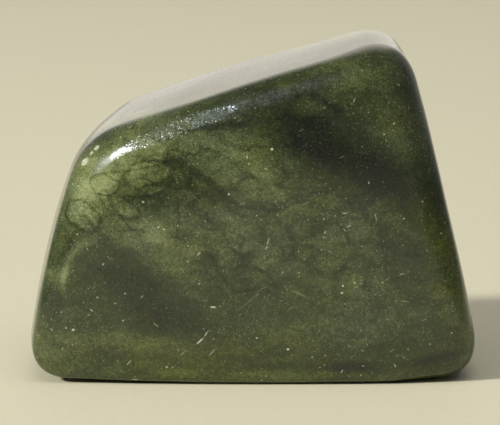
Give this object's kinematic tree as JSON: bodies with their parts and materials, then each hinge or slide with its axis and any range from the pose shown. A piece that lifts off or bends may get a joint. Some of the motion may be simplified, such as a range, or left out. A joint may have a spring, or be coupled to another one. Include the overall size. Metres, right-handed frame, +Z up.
{
  "type": "polished nephrite stone",
  "caption": "Tumbled and polished piece of dark green nephrite jade: a rounded wedge with a sloping top that rests on a small flat spot, for display or handling.",
  "frame": {"origin": "on the plane of the flat spot the stone rests on, below the centre of the stone's box", "axes": "+Z up, +X along the long side towards the high peak, +Y from the broad face towards the back"},
  "size_m": [0.0306, 0.0202, 0.0229],
  "materials": {
    "nephrite": "polished"
  },
  "bodies": {
    "root": {"nephrite_stone": "nephrite"}
  },
  "joints": []
}
